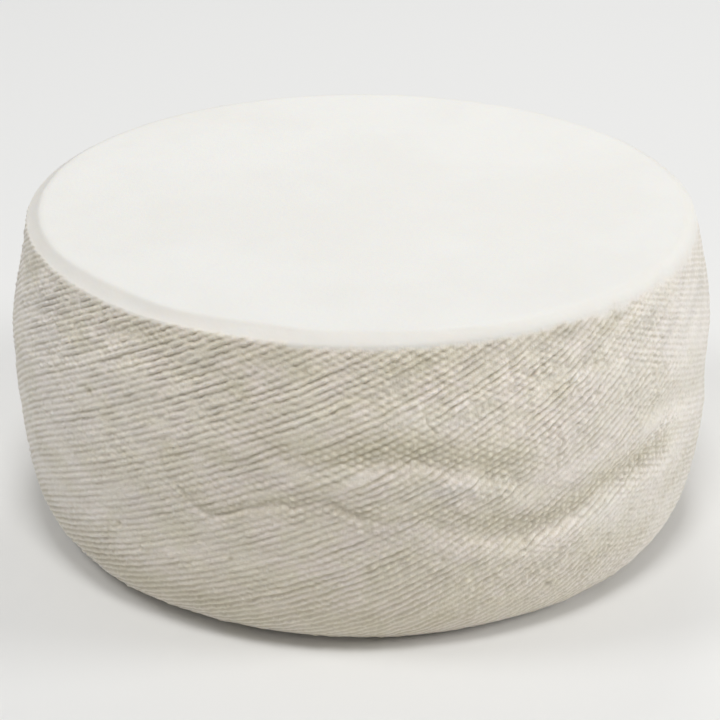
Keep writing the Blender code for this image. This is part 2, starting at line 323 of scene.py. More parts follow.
def cloth(x, s):
    ang = np.degrees(x / BELLY_R)
    fold, net, olive_and_painted_shade = fold_field(ang, s)

    tight = 0.03 * (s - np.clip(s - 10, 0, 20) ** 2 / 40 - np.clip(s - 30, 0, None))
    fine = 0.11 - 0.06 * smooth((np.abs(ang) - 30) / 20)
    west = smooth((-14 - ang) / 18) * (1 - smooth((-ang - 95) / 20))
    bend_a = 0.20 * noise(x, s, 70, 50, 11) + (0.17 - 0.05 * west) * noise(x, s, 30, 22, 12) \
        + (0.14 - 0.07 * west) * noise(x, s, 9, 7, 13) \
        + fine * noise(x, s, 3.6, 2.4, 14)
    bend_b = 0.22 * noise(x, s, 70, 50, 21) + 0.20 * noise(x, s, 28, 22, 22) + 0.11 * noise(x, s, 8, 7, 23) \
        + 0.10 * noise(x, s, 3.6, 2.4, 24)
    pa = s * knots(ang, DOWN_A, wrap=360) + np.interp(ang, FINE, ROUND_A) + tight + bend_a - 0.16 * fold
    pb = s * knots(ang, DOWN_B, wrap=360) - np.interp(ang, FINE, ROUND_B) + tight + bend_b - 0.16 * fold
    ia, ib = np.floor(pa).astype(np.int64), np.floor(pb).astype(np.int64)
    u, v = pa - ia - 0.5, pb - ib - 0.5
    na, nb = ia % COUNT_A, ib % COUNT_B

    # how strongly each family shows, and how round the beads at their crossings are
    left = smooth((-14 - ang) / 18)
    late = smooth((s - 18) / 9) * (1 - smooth((s - 42) / 7))
    right = smooth((ang - 37 - 13 * late) / 15)
    low = smooth((s - 42) / 14)
    top = smooth((40 - s) / 20)
    back = smooth((np.abs(ang) - 88) / 14)
    patch = noise(x, s, 20, 12, 41)
    patch2 = noise(x, s, 8, 5.5, 42)
    middle = smooth((ang - 20) / 14)
    wb = 0.25 - 0.14 * left + 0.08 * top * smooth((ang + 16) / 12) * (1 - middle) - 0.12 * low - (0.05 + 0.05 * late) * middle + 0.68 * right
    wb = wb * (1 - back) + back * (0.45 + 0.55 * noise(x, s, 60, 34, 43) - 0.2 * low)
    calm = smooth((ang + 22) / 14) * (1 - smooth((ang - 16) / 12)) * smooth((38 - s) / 10)
    net = net * (1 - 0.22 * calm)
    wb = np.clip(wb - 0.09 * calm + 0.28 * patch + 0.32 * patch2 + 0.30 * net, 0.04, 1.10)
    wa = 1.0 - 0.66 * smooth((ang - 44 - 10 * late) / 15) * (1 - net) * (1 - 0.5 * low)
    wa = wa * (1 - back) + back * (0.9 - 0.5 * noise(x, s, 70, 40, 44))
    wa = np.clip(wa + 0.15 * patch, 0.25, 1.1)
    wc = wb * np.minimum(wa, 1.0) * (0.35 + 0.55 * net)

    # every fourth groove is the deepest, the one between two of those the shallowest
    ja = np.floor(pa + 0.5).astype(np.int64)
    jb = np.floor(pb + 0.5).astype(np.int64)
    beat = np.clip(0.55 + 0.9 * noise(x, s, 30, 20, 57) - 0.25 * low - 0.3 * smooth((ang - 40) / 20), 0.05, 1.0)
    pairs = 0.5 * np.clip(0.1 + 0.3 * left + noise(x, s, 34, 22, 58), 0, 1) * (1 - 2 * (ja % 2))
    deep_a = 0.7 * beat * np.cos(math.pi / 2 * (ja % 4)) + pairs + 0.9 * noise(x, (ja % COUNT_A) * 5.3, 19, 1.0, 51)
    deep_b = 0.6 * beat * np.cos(math.pi / 2 * (jb % 4)) + 0.5 * (pick(jb % COUNT_B, 52) - 0.5)

    def thread_wave(q, deep):
        c = np.cos(2 * math.pi * q)
        return np.where(c < 0, c * (1 + 0.55 * np.minimum(deep, 0)), c)

    wave = (wa * thread_wave(u, deep_a) + wb * thread_wave(v, deep_b)
            + wc * np.cos(2 * math.pi * (u - v)))
    least = wa + wb - wc
    dome = np.clip((wave + least) / (wa + wb + wc + least), 0, 1)
    # a thread of the other family only notches a rope, it doesn't cut it
    loose = np.maximum(smooth((ang - 38) / 18), 0.45 * smooth((ang - 6) / 16) * smooth((s - 62) / 9)) * (1 - back)
    body = (1 - 0.48 * loose) * dome ** 0.58

    edge = (1 - 4 * u * u) * (1 - 4 * v * v)
    bead_h = pick2(na, nb, 38) - 0.5
    rib_h = ((0.55 + 0.15 * west) * noise(x, na * 5.3, 17, 1.0, 35)
             + (0.75 - 0.25 * calm - 0.15 * west) * noise(x, na * 5.3, 3.8, 1.0, 36)
             + (0.70 + 0.12 * west - 0.30 * calm) * noise(x, na * 3.7 + 0.8 * u, 1.7, 1.0, 34))
    body = body * (1 + rib_h * (1 - 4 * u * u)) + (0.42 + 0.45 * np.minimum(wb, 1)) * (1 - 0.45 * calm + 0.25 * west) * bead_h * edge * body
    body += (1 + 3.6 * loose) * (0.15 * noise(x, s, 2.7, 1.8, 37) + (0.18 + 0.12 * west) * noise(x, s, 1.4, 1.1, 39))

    # grooves are cut deeper here and there, for a short stretch
    da = pa - ja
    gate = 0.6 * deep_a + 0.7 * noise(x, (ja % COUNT_A) * 7.7, 13, 9, 55)
    cut_a = np.clip(gate, 0, 1) * np.exp(-(da / 0.19) ** 2) * np.clip(wa, 0, 1)
    db = pb - jb
    gate = 0.6 * deep_b + noise(x, (jb % COUNT_B) * 7.7, 9, 9, 56) - 0.1
    cut_b = np.clip(gate, 0, 1) * np.exp(-(db / 0.18) ** 2) * np.clip(wb, 0, 1)

    # strength of the whole imprint
    amp = 1.10 + 0.28 * noise(x, s, 34, 18, 61) + 0.26 * noise(x, s, 11, 7, 62) + 0.24 * noise(x, s, 5, 3.5, 64)
    front = 1 - back
    amp = amp * (1 + 0.28 * smooth((22 - s) / 12) * front)
    amp = amp * (1 - 0.08 * smooth((s - 24) / 8) * (1 - smooth((s - 60) / 10)) * smooth((30 - ang) / 10) * front)
    amp = amp * (1 - 0.26 * smooth((8 - ang) / 14) * smooth((s - 36) / 10) * (1 - 0.7 * smooth((s - 60) / 10)) * front)
    amp = amp * (1 + 0.35 * smooth((s - 71) / 5) * smooth((16 - ang) / 12) * front)
    amp = amp * (1 + 0.25 * smooth((-56 - ang) / 10) * smooth((s - 36) / 8) * front)
    amp = amp * (1 - (0.36 - 0.12 * smooth((s - 24) / 8)) * smooth((ang - 38) / 24) * front) * (1 - 0.10 * smooth((s - 50) / 20))
    amp = amp * (1 + 0.30 * smooth((ang - 32) / 8) * smooth((s - 56) / 8) * (1 - smooth((s - 76) / 6)) * front)
    for at, drop, half_a, half_s, gain in STRONGER:
        amp = amp * (1 + gain * np.exp(-((ang - at) / half_a) ** 4 - ((s - drop) / half_s) ** 4))
    amp = amp * (1 - 0.50 * smooth((s - 86) / 14))
    start = imprint_start(ang, s)
    amp = amp * smooth((s - start) / (1.8 + (0.9 * smooth((ang + 16) / 10) + 2.3 * smooth((ang - 32) / 16)) * (1 - back)))
    for at, drop, half_a, half_s, lost in FAINT:
        along = ang - at
        across = s - drop + 0.50 * np.radians(along) * BELLY_R * (np.abs(along) < 30)
        amp = amp * (1 - lost * np.exp(-((along / half_a) ** 2 + (across / half_s) ** 2) ** 1.5))
    amp = np.clip(amp, 0.0, 1.6)

    # the relief is flatter on the flanks and the foot; painted shade darkens their grooves more, so they stay as dark
    flank = np.abs(ang)
    flatter_with_painted_shade = np.maximum((smooth((flank - 60) / 12) + 0.4 * smooth((flank - 70) / 10)) * (1 - smooth((flank - 100) / 14)),
                        smooth((s - 66) / 14))
    relief = (0.54 * (body - 0.50) - (0.13 * cut_a + 0.10 * cut_b) * smooth((s - 2) / 8)) * amp * (1 - 0.42 * flatter_with_painted_shade)
    relief *= 1 - 0.35 * smooth((s - 81) / 6)
    grit = (0.035 + 0.02 * amp + (0.040 - 0.015 * low) * west) * noise(x, s, 0.95, 0.9, 72)
    relief += grit * smooth((s - start) / 2)
    lumpy = 0.16 + 0.10 * smooth((20 - s) / 10)
    relief += (lumpy * noise(x, s, 7, 4.5, 73) + (0.16 + 0.12 * smooth((24 - s) / 12)) * noise(x, s, 22, 14, 74)) * smooth(s / 5)
    # painted shade: hollow darkens the grooves, and is raised where the relief is flatter
    hollow = np.clip(((1 - dome) ** 1.5 + 0.35 * cut_a + 0.3 * cut_b) * (1 + 0.75 * flatter_with_painted_shade), 0, 1) * np.clip(amp, 0, 1)
    return relief, fold, hollow, olive_and_painted_shade


# ------------------------------------------------- cracks, pits, scars, lumps
CRACKS = (   # (angle, drop) corners, half-width, depth
    (((-5.2, 41.8), (-3.5, 43.0), (-1.8, 44.8), (-0.2, 46.3)), 0.80, 0.16),
    (((-1.1, 47.4), (-1.0, 49.2)), 0.30, 0.18),
    (((-25.0, 48.6), (-23.4, 49.8), (-21.0, 49.0), (-17.8, 46.2), (-15.0, 44.6)), 0.75, 0.13),
    (((-17.0, 52.2), (-14.4, 50.4)), 0.34, 0.16),
    (((9.7, 19.0), (9.8, 20.6), (10.5, 21.8), (11.0, 23.0)), 0.34, 0.28),
    (((31.2, 28.6), (31.0, 30.2), (31.9, 31.6), (31.6, 33.0)), 0.34, 0.26),
    (((30.8, 38.0), (31.2, 39.2), (30.9, 40.4)), 0.32, 0.20),
    (((-62.0, 9.6), (-61.2, 12.0), (-60.0, 13.4)), 0.40, 0.26),
    (((-49.2, 25.2), (-47.8, 24.4), (-46.4, 25.6)), 0.40, 0.25),
    (((128.0, 15.0), (129.5, 18.0), (129.0, 20.0)), 0.38, 0.28),
    (((-147.0, 23.0), (-145.5, 24.5), (-145.0, 27.0)), 0.38, 0.28),
)
PITS = (     # angle, drop, radius, depth
    (27.7, 71.7, 0.9, 0.60), (31.3, 76.7, 1.0, 0.60), (43.0, 67.0, 0.8, 0.45), (35.0, 68.5, 0.7, 0.40), (26.0, 59.5, 0.7, 0.40), (-41.5, 62.2, 0.9, 0.50),
    (4.6, 5.7, 1.1, 0.20), (-8.4, 6.3, 0.9, 0.20), (22.2, 31.8, 0.8, 0.25),
    (36.5, 13.5, 0.9, 0.40), (33.6, 16.4, 0.8, 0.35), (38.8, 22.0, 0.8, 0.35), (31.0, 11.2, 0.7, 0.3),
    (35.2, 19.4, 0.7, 0.3), (41.5, 15.2, 0.8, 0.3), (-59.0, 21.7, 0.9, 0.35), (-47.0, 25.6, 0.8, 0.35),
    (-20.2, 62.2, 0.7, 0.3), (-37.2, 67.2, 0.8, 0.45), (-34.5, 47.2, 0.8, 0.35), (-21.4, 78.8, 0.7, 0.35), (-31.6, 36.8, 0.9, 0.35), (12.5, 60.5, 0.8, 0.3), (1.2, 61.6, 0.8, 0.3),
    (39.2, 13.5, 0.8, 0.3), (38.5, 10.2, 0.7, 0.3), (44.5, 4.2, 0.8, 0.3), (48.5, 5.4, 0.7, 0.3), (66.5, 36.6, 0.9, 0.25),
    (-71.8, 5.0, 1.0, 0.40), (-58.6, 11.8, 0.8, 0.35), (-46.5, 24.8, 0.7, 0.30), (-50.8, 29.2, 0.7, 0.30), (-37.5, 10.8, 0.7, 0.35),
    (140.0, 14.0, 0.9, 0.35), (118.0, 66.0, 0.8, 0.35), (-118.0, 18.0, 0.9, 0.4), (-133.0, 58.0, 0.8, 0.35),
    (165.0, 48.0, 0.8, 0.35), (-171.0, 70.0, 0.8, 0.35), (101.0, 30.0, 0.8, 0.3), (-97.0, 52.0, 0.8, 0.3),
)
LUMPS = (    # angle, drop, radius, height
    (-50.0, 18.0, 1.2, 0.28), (-52.0, 30.0, 1.0, 0.22), (34.6, 14.6, 1.0, 0.30), (37.4, 17.6, 1.1, 0.32),
    (32.4, 13.4, 0.9, 0.25), (39.8, 18.8, 0.9, 0.25), (36.0, 21.6, 0.9, 0.22), (-44.0, 11.0, 1.1, 0.2),
    (28.9, 55.2, 1.1, 0.2), (-64.0, 30.0, 1.3, 0.2), (150.0, 30.0, 1.2, 0.3), (-112.0, 40.0, 1.2, 0.3),
)


def marks(ang, s):
    h = np.zeros_like(ang)
    dark = np.zeros_like(ang)
    x = np.radians(ang) * BELLY_R
    for path, half, depth in CRACKS:
        a = [p[0] for p in path]
        d = [p[1] for p in path]
        near = ((ang > min(a) - 3) & (ang < max(a) + 3) & (s > min(d) - 4) & (s < max(d) + 4))
        if not near.any():
            continue
        px, ps = x[near], s[near]
        far = np.full(px.shape, 99.0)
        for (a0, d0), (a1, d1) in zip(path[:-1], path[1:]):
            x0, x1 = math.radians(a0) * BELLY_R, math.radians(a1) * BELLY_R
            ux, us = x1 - x0, d1 - d0
            t = np.clip(((px - x0) * ux + (ps - d0) * us) / (ux * ux + us * us), 0, 1)
            far = np.minimum(far, np.hypot(px - x0 - t * ux, ps - d0 - t * us))
        cut = np.exp(-(far / half) ** 2)
        h[near] -= depth * cut
        h[near] += 0.35 * depth * np.exp(-((far - 2.2 * half) / half) ** 2)
        dark[near] = np.maximum(dark[near], cut * min(1.0, depth / 0.22))
    for at, drop, radius, depth in PITS:
        far = np.hypot(x - math.radians(at) * BELLY_R, s - drop)
        near = far < radius * 4
        cut = np.exp(-(far[near] / radius) ** 2)
        h[near] -= depth * cut
        dark[near] = np.maximum(dark[near], np.minimum(1.0, 1.2 * cut))
    for at, drop, radius, height in LUMPS:
        far = np.hypot(x - math.radians(at) * BELLY_R, s - drop)
        near = far < radius * 4
        h[near] += height * np.exp(-(far[near] / radius) ** 2)
    return h, dark


OLIVE_AND_SHADE_PATCHES = (   # olive patches, those a few millimetres under the front rim partly painted shade: angle, drop, half sizes, strength
    (-16, 3.5, 16, 3.0, 0.8), (4.6, 6.0, 7.0, 2.6, 0.7), (-8.4, 6.3, 5.0, 3.0, 0.8), (17, 4.0, 8.0, 3.0, 0.45),
    (-36, 4.0, 10.0, 3.4, 0.9), (32.5, 16.5, 2.6, 2.8, 0.9), (42.0, 5.0, 3.0, 2.4, 0.8), (48.0, 6.4, 1.6, 1.4, 0.8), (-52.0, 6.0, 7.0, 3.0, 0.6), (22.2, 31.8, 3.2, 2.4, 0.8),
    (-46.5, 25.0, 1.6, 1.4, 0.7), (-38.9, 38.8, 2.0, 1.2, 0.8), (-43.5, 63.0, 2.4, 1.6, 0.8), (-20.0, 47.0, 8.0, 3.5, 0.6),
    (-2.0, 44.0, 6.0, 3.2, 0.7), (30.0, 70.0, 9.0, 4.5, 0.6), (12.0, 70.0, 8.0, 3.5, 0.5), (-16.0, 58.0, 3.0, 3.0, 0.5),
    (4.0, 62.0, 2.6, 2.0, 0.6), (-8.0, 79.0, 10.0, 3.0, 0.6), (20.0, 80.0, 10.0, 4.0, 0.6), (62.0, 38.0, 4.0, 2.0, 0.3),
    (-34.0, 80.0, 34.0, 6.5, 0.95), (2.0, 81.0, 22.0, 6.0, 0.75), (-30.0, 34.0, 5.0, 5.0, 0.7), (-29.0, 58.0, 6.0, 6.0, 0.8),
    (-22.0, 69.0, 14.0, 5.0, 0.7), (53.0, 34.0, 8.0, 4.0, 0.7), (61.0, 62.0, 9.0, 7.0, 0.6), (-42.0, 46.0, 12.0, 5.0, 0.6), (29.0, 46.0, 4.0, 3.0, 0.5), (45.0, 71.0, 12.0, 6.0, 0.7),
    (66.0, 28.0, 4.0, 3.0, 0.6), (-28.0, 12.0, 6.0, 2.4, 0.5), (-9.0, 17.0, 4.0, 2.0, 0.5), (130.0, 8.0, 16.0, 4.0, 0.7),
    (-23.0, 9.0, 4.0, 2.2, 0.8), (-46.5, 3.0, 3.0, 2.0, 0.7), (33.0, 2.6, 6.0, 2.0, 0.6), (44.8, 3.4, 2.2, 1.8, 0.8), (39.0, 12.0, 2.0, 2.4, 0.7),
    (-22.0, 32.0, 5.0, 3.0, 0.8), (-26.0, 45.0, 4.0, 3.0, 0.7), (-54.0, 59.0, 5.0, 3.0, 0.6), (31.5, 76.5, 5.0, 3.0, 0.7),
    (-72.2, 3.8, 3.0, 2.0, 0.7), (-31.3, 7.5, 3.0, 2.2, 0.6),
    (-140.0, 6.0, 18.0, 4.0, 0.7), (150.0, 70.0, 12.0, 6.0, 0.6), (-120.0, 74.0, 12.0, 5.0, 0.6), (100.0, 14.0, 5.0, 4.0, 0.5),
)


# Where the rind is paler and more neutral, by angle.
PALE = ((-180, 0.35), (-130, 0.65), (-88, 0.95), (-72, 0.98), (-58, 0.74), (-35, 0.35), (-10, 0.0), (15, 0.05), (35, 0.40),
        (55, 0.80), (80, 1.0), (120, 0.60), (150, 0.30))


# Where the rind is lighter (above 0) or darker: angle, height, half sizes, amount. Partly the rind's own tone, partly
# painted light and shade, such as painted light on the left flank.
TONE_AND_PAINTED_LIGHT_PATCHES = (
    (-72, 58, 12, 28, 0.65), (25, 74, 10, 12, 0.75), (18, 57, 6, 5, 0.5), (39, 33, 7, 5, 0.9), (60, 45, 7, 7, 0.95),
    (-26, 45, 11, 8, -0.6), (-16, 57, 9, 6, -0.6), (30, 45, 6, 4, -0.6), (-30, 86, 8, 3, -0.4), (-20, 33, 9, 6, -0.5),
    (-38, 80, 13, 6, 1.1), (47, 86, 7, 3, 0.7), (22, 80, 6, 4, 0.35), (25, 87, 9, 2.6, -0.7), (0, 69, 14, 4, 0.3),
    (-39, 37, 8, 7, -0.8), (28, 30.5, 5, 4, 0.8), (-38, 70, 7, 6, -0.7), (-77, 77, 5, 6, 0.7), (4, 38.5, 5, 3.5, -0.8),
    (-52, 49, 5, 4, -0.7),
    # painted highlight on the lit lower slope of the first fold; pale threads above it, and between the bevel and its
    # net
    (-3, 58.5, 4.5, 2.2, 1.8), (-4, 76, 4, 2, 1.3), (-13.5, 76, 3, 1.8, 1.2), (-8, 80, 2.6, 1.6, 1.2), (9, 73.5, 6, 3.6, 1.3),
    # pale lumps of the rough place, and olive streaks close under the rim
    (34, 75, 2.4, 1.8, 1.8), (36, 72, 2, 1.6, 1.1), (-23, 81, 3.5, 1.8, -1.4), (35, 87, 4, 1.8, -1.1), (45, 87, 2.5, 1.6, -1.4),
)
# Places that are paler and more neutral than the rind round them.
PALER = ((12, 72, 9, 4, 0.5), (-8, 71, 4, 3, 0.5), (-4, 57, 5, 2.5, 0.6), (14, 51, 8, 3, 0.45), (40, 33, 4, 4, 0.5), (73, 78, 5, 8, 0.45), (34, 75, 2.5, 2, 0.6),
         (-15, 3, 40, 6, 0.45))


def olive_and_rim_shade(ang, s):
    x = np.radians(ang) * BELLY_R
    ragged = 0.7 * noise(x, s, 5, 3.5, 86) + 0.4 * noise(x, s, 2.4, 1.8, 87)
    out = np.zeros_like(ang)
    for at, drop, half_a, half_s, strength in OLIVE_AND_SHADE_PATCHES:
        far = ((ang - at) / half_a) ** 2 + ((s - drop) / half_s) ** 2
        out = np.maximum(out, strength * np.exp(-far * (1 + ragged)))
    slow = noise(x, s, 26, 12, 88) + 0.6 * noise(x, s, 9, 5, 89)
    near_rim = 0.2 * smooth((24 - s) / 10) * (1 - 1.5 * smooth((ang - 44) / 10) * (1 - smooth((ang - 90) / 20)))
    out = np.maximum(out, (0.55 - 0.15 * smooth((ang - 10) / 20) + near_rim) * smooth((slow - 0.15) / 0.5))
    # painted shade: olive just under the rim, where the bevel's lip overhangs, partly the rind's own colour
    under = np.exp(-((s - 1.0) / 3.0) ** 2) * bevel_share(ang)
    return np.maximum(out, 0.35 * under)


# Slow unevenness of the pressed side: waves round, phase, size, turn with drop.
UNEVEN = ((2, 35.0, 0.30, 40.0), (3, 190.0, 0.35, -60.0), (5, 75.0, 0.25, 90.0))


SWELLS = (   # angle, drop, half sizes, height
    (-19.0, 94.0, 24.0, 14.0, -1.0), (88.0, 38.0, 15.0, 11.0, -1.1), (-62.0, 60.0, 14.0, 14.0, 0.2),
    (60.0, 88.0, 20.0, 14.0, -0.1), (-40.0, 84.0, 14.0, 9.0, 0.5), (38.0, 84.0, 16.0, 10.0, 0.4), (-80.0, 62.0, 14.0, 12.0, -0.4), (128.0, 74.0, 18.0, 14.0, 0.4), (-135.0, 22.0, 18.0, 12.0, -0.6),
)


def side_relief(ang, s):
    """Outward relief of the side, how deep in a groove each point lies, and where olive colour and painted shade darken
    it.
    """
    x = np.radians(ang) * BELLY_R
    relief, fold, hollow, olive_and_painted_shade = cloth(x, s)
    cut, dark = marks(ang, s)
    hold = smooth(s / 10.0) * smooth((SIDE - s) / 12.0)
    slow = np.zeros_like(ang)
    for waves, phase, size, turn in UNEVEN:
        slow += size * np.sin(np.radians(waves * ang + phase + turn * s / SIDE))
    for at, drop, half_a, half_s, height in SWELLS:
        slow += height * np.exp(-((ang - at) / half_a) ** 2 - ((s - drop) / half_s) ** 2)
    # the side draws in a little just under the rim
    share = bevel_share(ang)
    under = 0.15 * share * (1 + 0.6 * noise(x, s * 0 + 2.0, 22, 40, 84))
    draw = -under * np.exp(-(((s - 1.8) / 1.5) ** 2))
    draw = draw - knots(ang, PRESSED_IN, wrap=360) * np.exp(-(s / 16.0) ** 2) * (s >= 0)
    total = relief * smooth((SIDE - s) / 8.0) + (slow + fold) * hold + cut + draw
    return total, np.maximum(hollow, dark), np.clip(np.maximum(olive_and_painted_shade, olive_and_rim_shade(ang, s)), 0, 1)


# --------------------------------------------------------------- the top face
SPECKS = ((-38.0, 47.0, 0.9, 0.16), (-20.6, 46.5, 0.8, 0.14), (42.0, 30.0, 0.8, -0.15), (12.0, -20.0, 0.9, -0.12),
          (-55.0, -12.0, 0.8, 0.12), (61.0, -25.0, 1.0, 0.12))


def top_relief(x, y):
    h = (0.16 * flat_noise(x, y, 46, 91) + 0.07 * flat_noise(x, y, 19, 92)
         + 0.030 * flat_noise(x, y, 7.5, 93) + 0.012 * flat_noise(x, y, 3.6, 94))
    for sx, sy, radius, height in SPECKS:
        h = h + height * np.exp(-((x - sx) ** 2 + (y + sy) ** 2) / radius**2)
    return h


# ------------------------------------------------------------------- the mesh
def ring_angles(count):
    return -180.0 + 360.0 * np.arange(count) / count


def build_wheel():
    rings = []       # (count, xyz, hollow, zone); zone 1 top, 0 side

    def add(count, radius, z, hollow=None, zone=0.0, lift=None, olive_and_painted_shade=None):
        ang = np.radians(ring_angles(count))
        r = np.broadcast_to(np.asarray(radius, float), ang.shape)
        zz = np.broadcast_to(np.asarray(z, float), ang.shape)
        xyz = np.stack((r * np.sin(ang), -r * np.cos(ang), zz), 1)
        if lift is not None:
            xyz[:, 2] += lift * top_relief(xyz[:, 0], xyz[:, 1])
        rings.append((count, xyz, np.zeros(count) if hollow is None else hollow,
                      np.full(count, zone) if np.isscalar(zone) else zone,
                      np.zeros(count) if olive_and_painted_shade is None else olive_and_painted_shade))

    # top face, coarser towards the middle
    for count, first, last, step in ((25, 2.5, 5.1, 2.5), (50, 7.0, 12.1, 1.7), (100, 13.6, 24.1, 1.75),
                                     (200, 25.8, 48.1, 1.85), (400, 50.0, 80.1, 1.8), (800, 81.6, 82.9, 1.2)):
        for radius in np.arange(first, last, step):
            add(count, radius, TOP_Z, zone=1.0, lift=1.0)
    ang = ring_angles(COLUMNS)
    edge = knots(ang, TOP_EDGE, wrap=360)
    for f in np.linspace(0.0, 1.0, 6)[:-1]:
        add(COLUMNS, CORE_R + (edge - CORE_R) * f, TOP_Z, zone=1.0, lift=1.0 - 0.5 * f)
    # rim
    share = bevel_share(ang)
    for q in 1 - (1 - np.linspace(0.0, 1.0, RIM_ROWS + 1)[:-1]) ** 1.5:
        s = np.full(COLUMNS, -RIM_ARC * (1 - q))
        start = imprint_start(ang, s)
        relief, hollow, olive_and_painted_shade = side_relief(ang, s)
        lean = math.radians(12 + 66 * q * q)     # the imprint stands out at this lean
        z = rim_height(ang, edge + (RIM_R - edge) * q, edge)
        r = edge + (RIM_R - knots(ang, PRESSED_IN, wrap=360) - edge) * q
        near = smooth((q - 0.35) / 0.4)
        add(COLUMNS, r + relief * near * math.sin(lean), z + relief * near * math.cos(lean),
            hollow=hollow * near, zone=1 - smooth((s - start) / (1.8 + 1.8 * smooth((ang - 32) / 15) * (1 - smooth((ang - 100) / 30))) + 0.15), lift=0.5 * (1 - q), olive_and_painted_shade=olive_and_painted_shade * near)
    # side
    drops = [0.0]
    while drops[-1] < SIDE - 0.3:
        drops.append(drops[-1] + (0.38 if drops[-1] < 88 else min(0.80, 0.38 + (drops[-1] - 88) * 0.05)))
    drops = np.array(drops) * (SIDE / drops[-1])
    a2, s2 = np.meshgrid(ang, drops)
    relief, hollow, olive_and_painted_shade = side_relief(a2, s2)
    start = imprint_start(a2, s2)
    soft = 1.8 + 1.8 * smooth((a2 - 32) / 15) * (1 - smooth((a2 - 100) / 30))
    zone = 1 - smooth((s2 - start) / soft + 0.15)
    r, z, nr, nz = side_point(drops)
    for j in range(len(drops)):
        rad = r[j] + nr[j] * relief[j]
        height = z[j] + nz[j] * relief[j]
        if j == len(drops) - 1:
            rad, height = np.full(COLUMNS, r[j]), np.zeros(COLUMNS)
        height = np.maximum(height, 0.0)
        add(COLUMNS, rad, height, hollow=hollow[j], zone=zone[j], olive_and_painted_shade=olive_and_painted_shade[j])
    # flat base
    for count, radius in ((800, 75.2), (400, 73.0), (400, 66.0), (200, 58.0), (200, 44.0), (100, 32.0), (50, 18.0), (25, 8.0)):
        add(count, radius, 0.0)

    starts = np.cumsum([0] + [r[0] for r in rings])
    co = np.concatenate([r[1] for r in rings])
    hollow = np.concatenate([r[2] for r in rings])
    zone = np.concatenate([r[3] for r in rings])
    olive_and_painted_shade = np.concatenate([r[4] for r in rings])
    top_mid, base_mid = len(co), len(co) + 1
    lift = float(top_relief(np.zeros(1), np.zeros(1))[0])
    co = np.concatenate((co, [[0, 0, TOP_Z + lift], [0, 0, 0]]))
    hollow = np.concatenate((hollow, [0, 0]))
    zone = np.concatenate((zone, [1, 0]))
    olive_and_painted_shade = np.concatenate((olive_and_painted_shade, [0, 0]))

    faces, sizes, face_uv = [], [], []

    # layout of the bake map, in millimetres on a square of 430: the side in
    # two strips, the top and the base as discs
    square = 430.0
    side_rows = [i for i, r in enumerate(rings) if r[0] == COLUMNS]
    arc = {}
    run = 0.0
    for i in side_rows:
        if i != side_rows[0]:
            run += float(np.linalg.norm(rings[i][1][0] - rings[i - 1][1][0]))
        arc[i] = run
    strip_len, strip_h = TURN / 2, run

    def disc_uv(index, centre):
        p = co[index, :2]
        return (p + np.array(centre)) / square

    for i in range(len(rings) - 1):
        n0, n1 = rings[i][0], rings[i + 1][0]
        s0, s1 = starts[i], starts[i + 1]
        if n0 == n1:
            k = np.arange(n0)
            k1 = (k + 1) % n0
            quad = np.stack((s0 + k, s1 + k, s1 + k1, s0 + k1), 1)
            faces.append(quad.ravel())
            sizes.append(np.full(n0, 4))
            if n0 == COLUMNS:
                half = COLUMNS // 2
                which = (k >= half).astype(float)
                u0 = (k - which * half) / half * strip_len + 4.0
                u1 = (k + 1 - which * half) / half * strip_len + 4.0
                base = which * (strip_h + 4.0) + 3.0
                va, vb = base + strip_h - arc[i], base + strip_h - arc[i + 1]
                uv = np.stack((u0, va, u0, vb, u1, vb, u1, va), 1).reshape(-1, 2) / square
            else:
                centre = (90.0, square - 88.0) if i < side_rows[0] else (272.0, square - 82.0)
                uv = disc_uv(quad.ravel(), centre)
            face_uv.append(uv)
        else:
            coarse, fine = (s0, s1) if n0 < n1 else (s1, s0)
            m = min(n0, n1)
            k = np.arange(m)
            a, b = coarse + k, coarse + (k + 1) % m
            f0, f1, f2 = fine + 2 * k, fine + 2 * k + 1, fine + (2 * k + 2) % (2 * m)
            if n0 < n1:      # finer ring lies outside or below
                tri = np.stack((a, f0, f1, a, f1, b, b, f1, f2), 1)
            else:
                tri = np.stack((a, f1, f0, a, b, f1, b, f2, f1), 1)
            faces.append(tri.ravel())
            sizes.append(np.full(3 * m, 3))
            centre = (90.0, square - 88.0) if i < side_rows[0] else (272.0, square - 82.0)
            face_uv.append(disc_uv(tri.ravel(), centre))
    n = rings[0][0]
    k = np.arange(n)
    fan = np.stack((np.full(n, top_mid), k, (k + 1) % n), 1)
    faces.append(fan.ravel())
    sizes.append(np.full(n, 3))
    face_uv.append(disc_uv(fan.ravel(), (90.0, square - 88.0)))
    n, s0 = rings[-1][0], starts[-2]
    k = np.arange(n)
    fan = np.stack((np.full(n, base_mid), s0 + (k + 1) % n, s0 + k), 1)
    faces.append(fan.ravel())
    sizes.append(np.full(n, 3))
    face_uv.append(disc_uv(fan.ravel(), (272.0, square - 82.0)))

